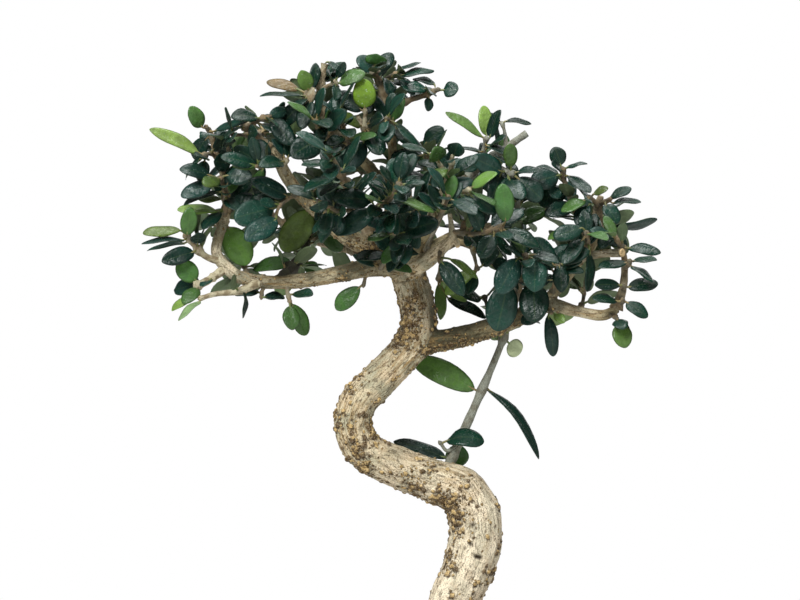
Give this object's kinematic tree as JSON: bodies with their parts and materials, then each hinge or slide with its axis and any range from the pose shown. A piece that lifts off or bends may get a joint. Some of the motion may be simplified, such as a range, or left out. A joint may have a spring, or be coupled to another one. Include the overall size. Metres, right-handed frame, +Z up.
{
  "type": "olive bonsai",
  "caption": "Small-leaved olive bonsai: an S-curved warty trunk and spreading branches under a domed crown of dark oval leaves, in an oval clay pot.",
  "frame": {"origin": "centre of the whole tree and pot's bounding box in plan, at the height of the pot's feet", "axes": "+Z up along the tree's height; +X to the viewer's right when the tree's front is seen; -Y towards the viewer, out of the tree's front"},
  "size_m": [0.2585, 0.177, 0.361],
  "materials": {
    "pot_clay": "matte unglazed brown clay",
    "soil": "granular dark bonsai soil",
    "bark": "pale buff-grey bark with brown corky warts",
    "foliage": "leathery dark green leaves, pale grey-green underneath, on grey twigs"
  },
  "bodies": {
    "root": {"pot": "pot_clay", "soil": "soil", "spray_back_left_end": "foliage", "spray_back_left_inner": "foliage", "spray_back_left_side": "foliage", "spray_back_middle": "foliage", "spray_back_right_end": "foliage", "spray_back_right_inner": "foliage", "spray_back_right_side": "foliage", "spray_back_upper_end": "foliage", "spray_centre_behind": "foliage", "spray_centre_crest": "foliage", "spray_centre_dark": "foliage", "spray_centre_drooping": "foliage", "spray_centre_glossy": "foliage", "spray_centre_grey": "foliage", "spray_centre_hanging": "foliage", "spray_centre_low": "foliage", "spray_centre_over_left": "foliage", "spray_centre_upper": "foliage", "spray_crown_dark": "foliage", "spray_crown_front": "foliage", "spray_crown_left": "foliage", "spray_crown_left_front": "foliage", "spray_crown_rear": "foliage", "spray_crown_right": "foliage", "spray_crown_top": "foliage", "spray_crown_young": "foliage", "spray_front_left": "foliage", "spray_front_middle": "foliage", "spray_left_bright": "foliage", "spray_left_end": "foliage", "spray_left_front": "foliage", "spray_left_hanging_pair": "foliage", "spray_left_inner": "foliage", "spray_left_low": "foliage", "spray_left_middle": "foliage", "spray_left_pale": "foliage", "spray_left_rear": "foliage", "spray_left_shaded": "foliage", "spray_left_single": "foliage", "spray_left_top": "foliage", "spray_left_under": "foliage", "spray_right_crest": "foliage", "spray_right_crossing": "foliage", "spray_right_end": "foliage", "spray_right_hanging": "foliage", "spray_right_inner": "foliage", "spray_right_low": "foliage", "spray_right_ovals": "foliage", "spray_right_rear": "foliage", "spray_right_shaded": "foliage", "spray_right_underside": "foliage", "spray_right_upper_end": "foliage", "spray_upper_left_end": "foliage", "spray_upper_left_front": "foliage", "spray_upper_left_knot": "foliage", "spray_water_shoot": "foliage", "trunk_and_branches": "bark"}
  },
  "joints": []
}
